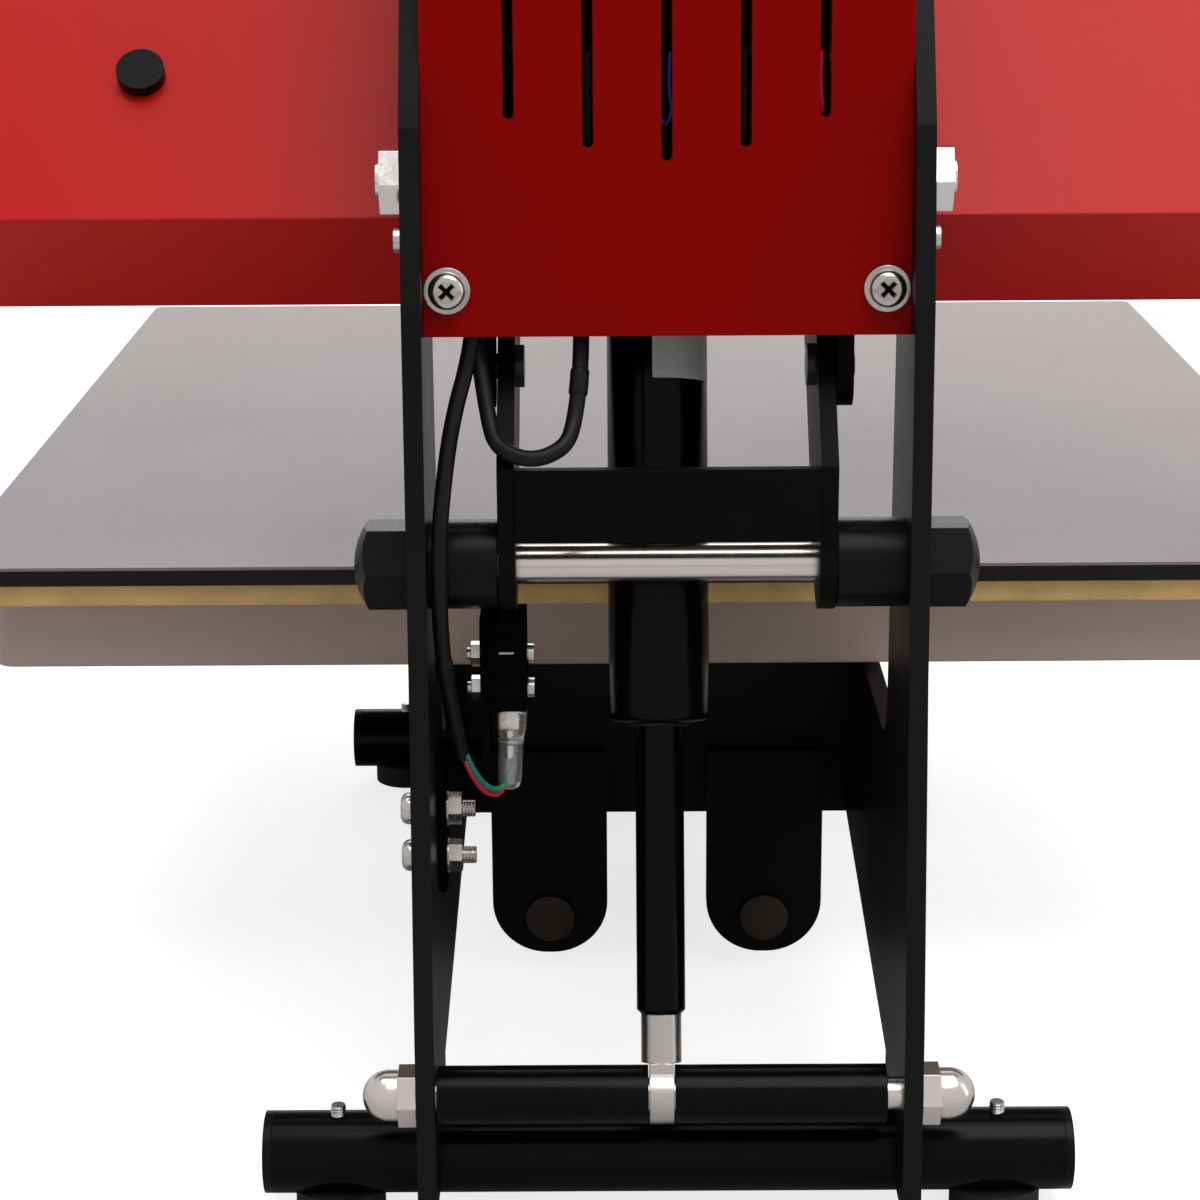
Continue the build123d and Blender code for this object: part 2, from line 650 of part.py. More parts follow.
link -= prism(
    [(link_len - link_slot, -slot_r), (link_tip, -slot_r), (link_tip, slot_r), (link_len - link_slot, slot_r)],
    link_out + 1,
    link_t + 2,
    y=0,
)
for end in (-link_slot, link_slot):
    link -= rod_x(slot_r, link_in - 1, link_out + 1, link_len + end, 0, y=0)
save("toggle_links", [linked * s for s in both(link)], black)

# Rear cover, drawn upright from its lower edge, then leaned forward
cover_len = hypot(cover_top[0] - cover_bottom[0], cover_top[1] - cover_bottom[1])
cover_lean = degrees(atan2(cover_top[0] - cover_bottom[0], cover_top[1] - cover_bottom[1]))
covered = Pos(0, pivot_y - cover_bottom[0], cover_bottom[1]) * Rot(cover_lean, 0, 0)
sheet = Pos(0, -sheet_t / 2, 0) * Box(2 * inner_face, sheet_t, cover_len, align=upright)
for way in (-1, 1):
    flange_x = way * (inner_face - sheet_t / 2)
    sheet += Pos(flange_x, -cover_flange / 2, 0) * Box(sheet_t, cover_flange, cover_len, align=upright)
vent_mid = (len(vent_bottoms) - 1) / 2
vents = []
for i, low in enumerate(vent_bottoms):
    x = (i - vent_mid) * vent_pitch
    start = low + vent_w / 2
    stop = cover_len - vent_top_margin
    sheet -= Pos(x, 0, start) * Rot(90, 0, 0) * Cylinder(vent_w / 2, 4 * sheet_t)
    vents.append(Pos(x, 0, start) * Box(vent_w, 4 * (sheet_t + housing_wall), stop - start, align=upright))
for vent in vents:
    sheet -= vent
for x in (-pan_x, pan_x):
    sheet -= Pos(x, 0, pan_in) * Rot(90, 0, 0) * Cylinder(pan_shank_r + run_fit, 4 * sheet_t)
save("rear_cover", covered * sheet, red)
tab_x = inner_face - sheet_t - tab_size / 2
tab = Pos(tab_x, -sheet_t - tab_depth / 2, pan_in) * Box(tab_size, tab_depth, tab_size)
tab -= Pos(pan_x, 0, pan_in) * Rot(90, 0, 0) * Cylinder(pan_shank_r + run_fit, 4 * tab_depth)
washer = Pos(pan_x, washer_t / 2, pan_in) * Rot(90, 0, 0) * Cylinder(washer_r, washer_t)
washer -= Pos(pan_x, 0, pan_in) * Rot(90, 0, 0) * Cylinder(pan_shank_r + run_fit, 4 * washer_t)
pan = Pos(pan_x, washer_t + pan_h / 2, pan_in) * Rot(90, 0, 0) * Cylinder(pan_r, pan_h)
pan = fillet(pan.edges().filter_by(GeomType.CIRCLE).group_by(Axis.Y)[-1], pan_h * 0.6)
for turn in (45, 135):
    pan -= Pos(pan_x, washer_t + pan_h, pan_in) * Rot(0, turn, 0) * Box(cross_w, pan_h, cross_len)
shank_len = washer_t + sheet_t + tab_depth
pan += Pos(pan_x, washer_t - shank_len / 2, pan_in) * Rot(90, 0, 0) * Cylinder(pan_shank_r, shank_len)
save("head_screws", side_screws + [covered * s for s in both(washer) + both(pan)], steel)

# Control housing on the cover's inner face
lean_rate = tan(radians(cover_lean))
skin = sheet_t / cos(radians(cover_lean))
housing_low = handle_up + housing_floor
housing_shoulder = cover_top[1] - 2.0


def cover_inside(up):
    return cover_bottom[0] + (up - cover_bottom[1]) * lean_rate + skin


def before_arm(up, gap):
    return ((up - pivot_up) * slope[0] - arm_top - gap) / slope[1]


def over_axle(share, rise):
    return (housing_back_fwd + share * housing_reach, handle_up + rise)


housing_floor_fwd = before_arm(housing_low, housing_arm_gap)
housing_reach = before_arm(handle_up + panel_front_rise - housing_chin, panel_arm_gap) - housing_back_fwd
back_low = over_axle(0, housing_back_rise)
back_high = over_axle(housing_crown_share, housing_crown_rise)
panel_back = over_axle(panel_share, panel_back_rise)
panel_front = over_axle(1, panel_front_rise)
housing_points = [
    (cover_inside(housing_low), housing_low),
    (cover_inside(housing_shoulder), housing_shoulder),
    back_low,
    back_high,
    over_axle(housing_brow_share, housing_brow_rise),
    panel_back,
    panel_front,
    (panel_front[0], panel_front[1] - housing_chin),
    (housing_floor_fwd, housing_low),
]
outline = make_face(Polyline(*housing_points, close=True))
housing = extrude(side(housing_half) * outline, amount=2 * housing_half)
hollow = offset(outline, amount=-housing_wall)
housing -= extrude(side(housing_half - housing_wall) * hollow, amount=2 * (housing_half - housing_wall))
for vent in vents:
    housing -= covered * vent
floor_back = cover_inside(housing_low) + 2 * housing_wall
floor_front = housing_floor_fwd - 2 * housing_wall
floor_mid = (floor_back + floor_front) / 2
housing -= Pos(0, pivot_y - floor_mid, housing_low) * Box(
    2 * housing_half - 4 * housing_wall, floor_front - floor_back, 3 * housing_wall
)
panel_len = hypot(panel_front[0] - panel_back[0], panel_front[1] - panel_back[1])
panel_tilt = degrees(atan2(panel_back[1] - panel_front[1], panel_front[0] - panel_back[0]))
panel_mid = ((panel_back[0] + panel_front[0]) / 2, (panel_back[1] + panel_front[1]) / 2)
on_panel = Pos(0, pivot_y - panel_mid[0], panel_mid[1]) * Rot(panel_tilt, 0, 0)
button_y = -panel_len * 0.25
button_gap = 0.3
buttons = [(-button_pitch - 6.0, "button_set"), (-6.0, "button_minus"), (button_pitch - 6.0, "button_plus")]
for x, name in buttons:
    housing -= on_panel * Pos(x, button_y, 0) * Cylinder(button_r + button_gap, 4 * housing_wall)
    button = Pos(x, button_y, button_h) * Cylinder(button_r, button_h + housing_wall + 2 * button_gap + 1.2, align=(Align.CENTER, Align.CENTER, Align.MAX))
    flange_top = -housing_wall - button_gap
    button += Pos(x, button_y, flange_top) * Cylinder(button_r + 1.5, 1.2, align=(Align.CENTER, Align.CENTER, Align.MAX))
    save(name, on_panel * button, black)
rocker_x = housing_half - housing_wall - rocker_w
rocker_gap = 0.5
housing -= on_panel * Pos(rocker_x, 0, 0) * Box(rocker_w + 2 * button_gap, rocker_l + 2 * rocker_gap, 4 * housing_wall)
save("power_rocker", on_panel * Pos(rocker_x, 0, 0) * Box(rocker_w, rocker_l, 2 * housing_wall), black)
save("control_housing", housing, red)
floor_gap = run_fit
floor_plate = Pos(0, pivot_y - floor_mid, housing_low + housing_wall / 2) * Box(
    2 * housing_half - 4 * housing_wall - 2 * floor_gap, floor_front - floor_back - 2 * floor_gap, housing_wall
)
save("head_brackets", [covered * s for s in both(tab)] + [floor_plate], black)
display_x = -6.0
display_y = panel_len / 4
display = Pos(display_x, display_y, display_t / 2) * Box(display_w, display_d, display_t)
save("display_window", on_panel * display, black)
seat = ((back_low[0] + back_high[0]) / 2, (back_low[1] + back_high[1]) / 2)
seat_turn = degrees(atan2(back_high[1] - back_low[1], back_high[0] - back_low[0]))
gland = Cylinder(gland_r, gland_h, align=upright) - Cylinder(gland_bore_r, 3 * gland_h)
on_back = Pos(-housing_half / 2, pivot_y - seat[0], seat[1]) * Rot(-seat_turn, 0, 0)
save("cord_gland", on_back * gland, black)

# Microswitch on its bracket, bolted through the left plate
bracket_x = switch_x + switch_w / 2
bracket_y = pivot_y - switch_fwd


def block(x_low, x_high, z_low, z_high, depth=bracket_w):
    return Pos((x_low + x_high) / 2, bracket_y, (z_low + z_high) / 2) * Box(x_high - x_low, depth, z_high - z_low)


bracket = block(inner_face - bracket_t, inner_face, bracket_low, bracket_shelf + bracket_t)
bracket += block(bracket_x, inner_face, bracket_shelf, bracket_shelf + bracket_t)
bracket += block(bracket_x, bracket_x + bracket_t, bracket_shelf, switch_base + switch_h)
strip_out = half_frame + strip_t
strip = block(half_frame, strip_out, strip_low, strip_high, depth=strip_w)
nut_in = inner_face - bracket_t - 0.5
bracket_screws = []
bracket_nuts = []
for up in (m4_low, m4_high):
    bracket -= rod_x(m4_r + run_fit, inner_face - 2 * bracket_t, half_frame, switch_fwd, up)
    strip -= rod_x(m4_r + run_fit, half_frame - 1, strip_out + 1, switch_fwd, up)
    m4 = rod_x(m4_r, inner_face - bracket_t - 7.0, strip_out + 0.5, switch_fwd, up)
    head = rod_x(m4_head_r, strip_out, strip_out + m4_head_h, switch_fwd, up)
    m4 += fillet(head.edges().filter_by(GeomType.CIRCLE).group_by(Axis.X)[-1], m4_head_h * 0.7)
    bracket_screws.append(m4)
    nut = hex_x(7.0, nut_in - 3.2, nut_in, switch_fwd, up) + rod_x(4.4, nut_in, nut_in + 0.5, switch_fwd, up)
    bracket_nuts.append(nut - rod_x(m4_r + run_fit, 0, half_frame, switch_fwd, up))
switch = block(switch_x - switch_w / 2, bracket_x, switch_base, switch_base + switch_h, depth=switch_d)
hinge_y = bracket_y + switch_d / 2 - 1.6
switch_top = switch_base + switch_h
switch += Pos(switch_x, hinge_y, switch_top + (switch_lever_gap - 0.3) / 2) * Box(4.0, 3.0, switch_lever_gap - 0.3)
switch_screws = []
switch_nuts = []
for step in (switch_screw_low, switch_screw_high):
    up = switch_base + step
    switch -= rod_x(switch_screw_r + run_fit, 0, half_frame, switch_fwd, up)
    bracket -= rod_x(switch_screw_r + run_fit, bracket_x - 1, bracket_x + bracket_t + 1, switch_fwd, up)
    small = rod_x(switch_screw_r, switch_x - switch_w / 2 - 0.5, bracket_x + bracket_t + 3.4, switch_fwd, up)
    small += rod_x(2.4, switch_x - switch_w / 2 - 1.8, switch_x - switch_w / 2, switch_fwd, up)
    switch_screws.append(small)
    nut = hex_x(5.5, bracket_x + bracket_t, bracket_x + bracket_t + 2.4, switch_fwd, up)
    switch_nuts.append(nut - rod_x(switch_screw_r + run_fit, 0, half_frame, switch_fwd, up))
save("switch_bracket", [bracket, strip], black)
save("bracket_fasteners", bracket_screws + bracket_nuts, steel)
save("microswitch", switch, black)
lever_len = switch_d + 2.0
lever = Pos(switch_x, bracket_y + switch_d / 2 - lever_len / 2, switch_top + switch_lever_gap + lever_t / 2) * Box(
    4.0, lever_len, lever_t
)
save("switch_lever", lever, steel)
terminal_y = bracket_y
crimp = Pos(switch_x, terminal_y, switch_base) * Cylinder(sleeve_clear_r, sleeve_clear_len, align=(Align.CENTER, Align.CENTER, Align.MAX))
crimp -= Pos(switch_x, terminal_y, switch_base) * Cylinder(sleeve_clear_r - 0.8, 3 * sleeve_clear_len)
save("crimp_sleeve", crimp, (0.8, 0.8, 0.8))
terminal = Pos(switch_x, terminal_y, switch_base) * Box(4.8, 0.8, 7.0, align=(Align.CENTER, Align.CENTER, Align.MAX))
terminal += Pos(switch_x, terminal_y, switch_base - 7.0) * Cylinder(1.6, 7.0, align=(Align.CENTER, Align.CENTER, Align.MAX))
save("switch_fasteners", switch_screws + switch_nuts + [terminal], steel)


def tube_path(points):
    pts = [Vector(x, pivot_y - fwd, up) for x, fwd, up in points]
    radii = []
    for a, b, c in zip(pts, pts[1:], pts[2:]):
        half_turn = radians((b - a).get_angle(c - b)) / 2
        radii.append(0.45 * min((b - a).length, (c - b).length) / tan(half_turn))
    print("radii", [round(r, 1) for r in radii])
    return FilletPolyline(*pts, radius=radii)


def tube(points, r):
    path = tube_path(points)
    solid = sweep(Plane(origin=path @ 0, z_dir=path % 0) * Circle(r), path=path)
    print("length", round(path.length, 1), "volume ratio", round(solid.volume / (3.141593 * r * r * path.length), 4))
    return solid


cable_end = (49.0, 0.0, 113.7)
cable_points = [
    (38.0, 8.0, housing_low - 0.3),
    (38.0, 7.0, 262.0),
    (40.0, 5.0, 245.0),
    (43.6, 3.6, 228.0),
    (45.0, 1.9, 212.0),
    (49.5, -5.0, 197.0),
    (51.8, -12.0, 180.0),
    (52.7, -14.0, 166.3),
    (52.7, -12.0, 146.6),
    (51.4, -6.0, 130.0),
    cable_end,
]
switch_cable = tube(cable_points, cable_r)
loop_points = [
    (32.0, 9.0, housing_low - 0.3),
    (34.0, 9.5, 262.0),
    (38.5, 9.0, 246.0),
    (42.5, 8.2, 230.0),
    (44.2, 5.6, 216.0),
    (41.0, -5.3, 196.9),
    (38.9, -11.1, 192.0),
    (31.1, -14.0, 189.5),
    (23.3, -11.1, 192.0),
    (21.2, -5.3, 196.9),
    (19.8, 0.0, 208.0),
    (19.6, 5.6, 220.0),
    (20.4, 8.2, 236.0),
    (22.0, 9.4, 256.0),
    (24.0, 10.0, housing_low - 0.3),
]
save("switch_cables", [switch_cable, tube(loop_points, cable_r)], black)
wire_start = (cable_end[0] - 0.6, cable_end[1] - 0.6, cable_end[2] - 0.3)
wire_end = (switch_x - 0.7, switch_fwd - 0.7, switch_base - sleeve_clear_len + 3.0)
wire_points = [
    wire_start,
    (46.6, 1.4, 107.6),
    (43.2, 5.2, 101.4),
    (39.4, 8.6, 100.6),
    wire_end,
]
green_points = [(x + 1.5, fwd + 1.3, up) for x, fwd, up in wire_points]
save("switch_wires", [tube(wire_points, wire_r), tube(green_points, wire_r)], red)
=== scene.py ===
import math

import bmesh
import bpy
from mathutils import Matrix, Vector


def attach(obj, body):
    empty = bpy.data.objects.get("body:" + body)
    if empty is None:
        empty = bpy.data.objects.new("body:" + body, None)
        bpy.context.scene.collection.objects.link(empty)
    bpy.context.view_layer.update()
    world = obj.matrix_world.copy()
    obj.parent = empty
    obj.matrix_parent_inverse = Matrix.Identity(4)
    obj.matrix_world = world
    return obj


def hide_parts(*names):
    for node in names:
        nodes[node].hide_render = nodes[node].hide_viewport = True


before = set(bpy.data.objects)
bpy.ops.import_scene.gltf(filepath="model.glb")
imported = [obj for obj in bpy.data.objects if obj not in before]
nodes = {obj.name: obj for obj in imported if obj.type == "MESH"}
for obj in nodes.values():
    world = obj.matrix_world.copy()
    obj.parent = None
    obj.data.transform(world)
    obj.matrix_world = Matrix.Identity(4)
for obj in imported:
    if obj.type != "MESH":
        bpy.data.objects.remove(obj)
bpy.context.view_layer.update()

# Camera at the photograph's viewing angle: behind the press, slightly above.
# FOCAL is in pixels of the photograph, lengths are in metres.
PIVOT_Y = 0.2135
PHOTO_WIDTH = 1200
SENSOR_WIDTH = 36.0
FOCAL = 2846.4
CAMERA_PLACE = Vector((0.0137, PIVOT_Y + 0.6432, 0.3409))
YAW, PITCH, ROLL = math.radians(-0.18), math.radians(16.31), math.radians(-0.38)


def turned(v):
    return Vector((-v[0], -v[1], v[2]))


forward = Vector((math.sin(YAW) * math.cos(PITCH), math.cos(YAW) * math.cos(PITCH), -math.sin(PITCH)))
right = Vector((math.cos(YAW), -math.sin(YAW), 0))
above = right.cross(forward)
level_right = math.cos(ROLL) * right + math.sin(ROLL) * above
level_up = math.cos(ROLL) * above - math.sin(ROLL) * right
cam_data = bpy.data.cameras.new("camera")
cam_data.sensor_fit = "HORIZONTAL"
cam_data.sensor_width = SENSOR_WIDTH
cam_data.lens = FOCAL / PHOTO_WIDTH * SENSOR_WIDTH
cam_data.clip_start = 0.01
cam_data.clip_end = 50.0
camera = bpy.data.objects.new("camera", cam_data)
bpy.context.scene.collection.objects.link(camera)
basis = Matrix((turned(level_right), turned(level_up), -turned(forward))).transposed().to_4x4()
camera.matrix_world = Matrix.Translation(CAMERA_PLACE) @ basis
bpy.context.scene.camera = camera
bpy.context.scene.view_settings.view_transform = "Standard"

# Sockets of the Mix node that share a name, by place
MIX_AMOUNT, MIX_A, MIX_B, MIX_RESULT = 0, 6, 7, 2
NOISE_LOW, NOISE_HIGH = 0.3, 0.7
DUST_COLOR = (0.45, 0.43, 0.41, 1)


# Node-tree helpers
def tree_of(name):
    m = bpy.data.materials.new(name)
    m.use_nodes = True
    m.node_tree.nodes.clear()
    return m, m.node_tree


def add(nt, kind, **values):
    """A new node. A value named i_Some_Input sets that input, any other sets a property."""
    n = nt.nodes.new(kind)
    for k, v in values.items():
        if k.startswith("i_"):
            n.inputs[k[2:].replace("_", " ")].default_value = v
        else:
            setattr(n, k, v)
    return n


def ramp(nt, source, low, high, out_low, out_high):
    n = add(
        nt, "ShaderNodeMapRange",
        i_From_Min=low, i_From_Max=high, i_To_Min=out_low, i_To_Max=out_high,
    )
    nt.links.new(source, n.inputs["Value"])
    return n.outputs["Result"]


def surface(
    name, color, rough=0.4, metallic=0.0, grain=900.0, grain_depth=0.00003, grain_strength=0.3,
    vary=0.06, vary_scale=14.0, rough_vary=0.06, coat=0.0, edge=0.0004, streak=None, thread=None,
    sheen=0.0, specular=0.5, dust=0.0, transmission=0.0,
):
    """A material with a broad change of shade, a fine grain, softened edges, and dust or thread if given."""
    m, nt = tree_of(name)
    out = add(nt, "ShaderNodeOutputMaterial")
    b = add(
        nt, "ShaderNodeBsdfPrincipled",
        i_Metallic=metallic, i_Specular_IOR_Level=specular, i_Coat_Weight=coat, i_Coat_Roughness=0.12,
        i_Sheen_Weight=sheen, i_Transmission_Weight=transmission,
    )
    nt.links.new(b.outputs["BSDF"], out.inputs["Surface"])
    coords = add(nt, "ShaderNodeTexCoord")
    where = coords.outputs["Object"]
    broad = add(nt, "ShaderNodeTexNoise", i_Scale=vary_scale, i_Detail=4.0, i_Roughness=0.55)
    fine = add(nt, "ShaderNodeTexNoise", i_Scale=grain, i_Detail=3.0)
    nt.links.new(where, broad.inputs["Vector"])
    if streak:
        stretch = add(nt, "ShaderNodeMapping", i_Scale=streak)
        nt.links.new(where, stretch.inputs["Vector"])
        nt.links.new(stretch.outputs["Vector"], fine.inputs["Vector"])
    else:
        nt.links.new(where, fine.inputs["Vector"])
    shade = ramp(nt, broad.outputs["Fac"], NOISE_LOW, NOISE_HIGH, 1 - vary, 1 + vary)
    tint = add(nt, "ShaderNodeVectorMath", operation="SCALE")
    tint.inputs[0].default_value = color
    nt.links.new(shade, tint.inputs["Scale"])
    color_out = tint.outputs["Vector"]
    if dust:
        specks = add(nt, "ShaderNodeTexNoise", i_Scale=vary_scale * 6, i_Detail=8.0, i_Roughness=0.7)
        nt.links.new(where, specks.inputs["Vector"])
        amount = ramp(nt, specks.outputs["Fac"], 0.5, 0.85, 0.0, dust)
        mix = add(nt, "ShaderNodeMix", data_type="RGBA")
        nt.links.new(amount, mix.inputs[MIX_AMOUNT])
        nt.links.new(color_out, mix.inputs[MIX_A])
        mix.inputs[MIX_B].default_value = DUST_COLOR
        color_out = mix.outputs[MIX_RESULT]
    nt.links.new(color_out, b.inputs["Base Color"])
    mixed = add(nt, "ShaderNodeMath", operation="MULTIPLY")
    nt.links.new(broad.outputs["Fac"], mixed.inputs[0])
    nt.links.new(fine.outputs["Fac"], mixed.inputs[1])
    roughness = ramp(nt, mixed.outputs[0], 0.12, 0.4, rough - rough_vary, rough + rough_vary)
    nt.links.new(roughness, b.inputs["Roughness"])
    bump = add(nt, "ShaderNodeBump", i_Strength=grain_strength, i_Distance=grain_depth)
    nt.links.new(fine.outputs["Fac"], bump.inputs["Height"])
    if edge:
        bevel = add(nt, "ShaderNodeBevel", samples=4, i_Radius=edge)
        nt.links.new(bevel.outputs["Normal"], bump.inputs["Normal"])
    normal = bump.outputs["Normal"]
    if thread:
        direction, scale, depth = thread
        wave = add(nt, "ShaderNodeTexWave", bands_direction=direction, i_Scale=scale, i_Distortion=0.0)
        nt.links.new(where, wave.inputs["Vector"])
        groove = add(nt, "ShaderNodeBump", i_Strength=0.9, i_Distance=depth)
        nt.links.new(wave.outputs["Fac"], groove.inputs["Height"])
        nt.links.new(normal, groove.inputs["Normal"])
        normal = groove.outputs["Normal"]
    nt.links.new(normal, b.inputs["Normal"])
    return m


# Black paints, plastics and rubber
paint_skin = dict(grain=1100, grain_depth=0.00005, vary=0.25, dust=0.003)
black_paint = surface("black_satin_paint", (0.0024, 0.0021, 0.002), 0.42, specular=0.035, **paint_skin)
# Side plates and beam: the same black paint, a little lighter, as a painted reflection of their glossy sheen
black_paint_painted_sheen = surface("black_paint_with_painted_sheen", (0.0035, 0.0031, 0.003), 0.36, specular=0.1, **paint_skin)
black_gloss = surface(
    "black_gloss_paint", (0.0018, 0.0016, 0.0016), 0.2,
    grain=700, grain_depth=0.00002, vary=0.1, dust=0.002, specular=0.06,
)
plastic_skin = dict(grain=1600, grain_depth=0.00002, grain_strength=0.15, vary=0.12)
black_moulded = surface(
    "black_moulded_plastic", (0.004, 0.004, 0.0042), 0.28, edge=0.0005, specular=0.07, **plastic_skin,
)
black_matte = surface("black_matte_plastic", (0.0035, 0.0032, 0.0032), 0.7, specular=0.0, **plastic_skin)
black_cable = surface(
    "black_cable_jacket", (0.005, 0.0042, 0.004), 0.42,
    grain=2200, grain_strength=0.2, vary=0.2, edge=0.0002, dust=0.006, specular=0.12,
)
rubber = surface(
    "black_rubber", (0.008, 0.008, 0.008), 0.62,
    grain=1800, grain_depth=0.00008, vary=0.2, dust=0.03, edge=0.0008, specular=0.2,
)
plate_black = surface("black_plate_edge", (0.004, 0.0035, 0.003), 0.45, vary=0.1, specular=0.15)
foam = surface(
    "foam_grip", (0.018, 0.018, 0.018), 0.82, grain_depth=0.0004, grain_strength=0.7, vary=0.2, sheen=0.2,
)
glass_black = surface("display_glass", (0.006, 0.007, 0.008), 0.08, vary=0.02, coat=0.6, edge=0.0003)

# Red paints
red_skin = dict(grain_depth=0.00002, grain_strength=0.12, vary=0.03, vary_scale=5.0)
red_paint = surface(
    "red_paint", (0.43, 0.005, 0.003), 0.36, grain=650, edge=0.0009, specular=0.12, **red_skin,
)
# The same red paint at half its value, for the rear cover: painted shade on the face turned away from the
# lamps
red_paint_shaded = surface(
    "red_paint_with_painted_shade", (0.215, 0.0005, 0.0002), 0.4, grain=800, specular=0.05, **red_skin,
)

# Metals
chrome = surface(
    "chrome", (0.5, 0.46, 0.44), 0.22, 1.0,
    grain=60, grain_depth=0.000004, grain_strength=0.15, vary=0.03, rough_vary=0.05, streak=(40.0, 1.0, 1.0),
)
bright_steel = surface(
    "bright_steel", (0.4, 0.37, 0.35), 0.3, 1.0,
    grain=1400, grain_depth=0.000004, vary=0.05, rough_vary=0.04, edge=0.0006,
)
zinc = surface(
    "zinc_plate", (0.56, 0.54, 0.52), 0.16, 1.0,
    grain=1500, grain_depth=0.000006, vary=0.08, vary_scale=180.0, edge=0.0003,
)
dull_steel = surface(
    "dull_steel", (0.4, 0.38, 0.36), 0.22, 1.0,
    grain_depth=0.00001, vary=0.15, vary_scale=160.0, rough_vary=0.08, edge=0.0003,
)
dark_steel = surface(
    "blackened_steel", (0.02, 0.019, 0.018), 0.35, grain_depth=0.00002, vary=0.15, edge=0.0003, specular=0.2,
)
zinc_thread = surface(
    "zinc_thread_upright", (0.55, 0.55, 0.55), 0.3, 1.0, thread=("Z", 380.0, 0.0004), vary_scale=200.0,
)
screw_thread = surface("screw_thread", (0.5, 0.5, 0.5), 0.3, 1.0, vary_scale=120.0)
heater = surface(
    "heater_plate", (0.13, 0.13, 0.135), 0.35, 0.6, grain=1300, vary_scale=9.0,
)
brass = surface("tinned_terminal", (0.4, 0.37, 0.32), 0.25, 1.0, vary=0.1, vary_scale=200.0, edge=0.0002)
bar_end = surface(
    "rubbed_bar_end", (0.035, 0.028, 0.024), 0.5, vary=0.2, vary_scale=90.0, edge=0.0002, specular=0.1,
)

# The lower platen's pad, insulation and tray
silicone = surface(
    "gray_silicone", (0.212, 0.17, 0.167), 0.42,
    grain=1500, grain_depth=0.00004, vary=0.03, vary_scale=6.0, specular=0.35, dust=0.01,
)
felt = surface(
    "yellow_insulation", (0.56, 0.36, 0.13), 0.75, grain=500, grain_depth=0.0004, grain_strength=0.8,
    vary=0.2, vary_scale=45.0, streak=(1.0, 1.0, 3.0), edge=0.0008,
)
tray_paint = surface(
    "gray_tray_paint", (0.36, 0.27, 0.24), 0.42,
    grain_depth=0.00005, vary=0.05, edge=0.0012, dust=0.01, specular=0.3,
)

# Wires, clear sleeve, label and print
wire_red = surface("wire_red", (0.62, 0.01, 0.04), 0.35, vary=0.08, edge=0.0001)
wire_green = surface("wire_green", (0.0, 0.2, 0.13), 0.35, vary=0.08, edge=0.0001)
wire_blue = surface("wire_blue", (0.004, 0.016, 0.13), 0.35, vary=0.08, edge=0.0001)
clear = surface(
    "clear_sleeve", (0.88, 0.86, 0.84), 0.14,
    vary=0.03, grain=420, grain_depth=0.00025, grain_strength=0.5, transmission=0.93, edge=0.0,
)
label_paper = surface("blank_label", (0.85, 0.82, 0.8), 0.45, grain_depth=0.00001, vary=0.04, edge=0.0)
cream = surface("cream_print", (0.75, 0.74, 0.7), 0.4, vary=0.02, edge=0.0)


def glow(name, color, strength):
    m, nt = tree_of(name)
    out = add(nt, "ShaderNodeOutputMaterial")
    b = add(
        nt, "ShaderNodeBsdfPrincipled",
        i_Base_Color=(*color, 1), i_Emission_Color=(*color, 1), i_Emission_Strength=strength,
    )
    nt.links.new(b.outputs["BSDF"], out.inputs["Surface"])
    return m


digit_glow = glow("digit_glow", (0.9, 0.05, 0.02), 1.2)

looks = {
    black_paint_painted_sheen: "side_plate_left side_plate_right beam",
    black_paint: "support_bars arm_plate_left arm_plate_right arm_web "
    "platen_carrier head_brackets toggle_links handle_bar_left handle_bar_right",
    black_gloss: "foot_tube_rear foot_tube_front rod_sleeves spring_cylinder spring_rod",
    black_moulded: "tube_caps pivot_bushes pivot_cap_nuts hole_plugs pressure_knob grip_caps "
    "button_set button_minus button_plus power_rocker cord_gland",
    black_matte: "switch_bracket microswitch switch_lever",
    black_cable: "switch_cables",
    rubber: "rubber_feet",
    red_paint: "platen_cover control_housing",
    red_paint_shaded: "rear_cover",
    chrome: "pivot_shaft lower_rod rod_dome_nuts",
    bright_steel: "spring_eye",
    zinc: "handle_axles handle_pins platen_hub",
    dull_steel: "head_screws bracket_fasteners switch_fasteners",
    dark_steel: "arm_pins",
    zinc_thread: "foot_studs",
    screw_thread: "pressure_screw",
    silicone: "silicone_pad",
    plate_black: "lower_plate",
    felt: "lower_insulation upper_insulation",
    tray_paint: "lower_tray",
    heater: "heater_block",
    foam: "handle_grips",
    glass_black: "display_window",
    wire_red: "switch_wires",
    clear: "crimp_sleeve",
}
for material, names in looks.items():
    for name in names.split():
        slots = nodes[name].data.materials
        if len(slots) == 0:
            slots.append(material)
        for i in range(len(slots)):
            slots[i] = material


# Mesh helpers
def link(name, mesh, material, body, smooth=True):
    """A piece with that mesh, riding on the body."""
    o = bpy.data.objects.new(name, mesh)
    bpy.context.scene.collection.objects.link(o)
    mesh.materials.clear()
    mesh.materials.append(material)
    if smooth:
        for p in mesh.polygons:
            p.use_smooth = True
    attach(o, body)
    return o


def mesh_of(bm, name):
    me = bpy.data.meshes.new(name)
    bm.to_mesh(me)
    bm.free()
    return me


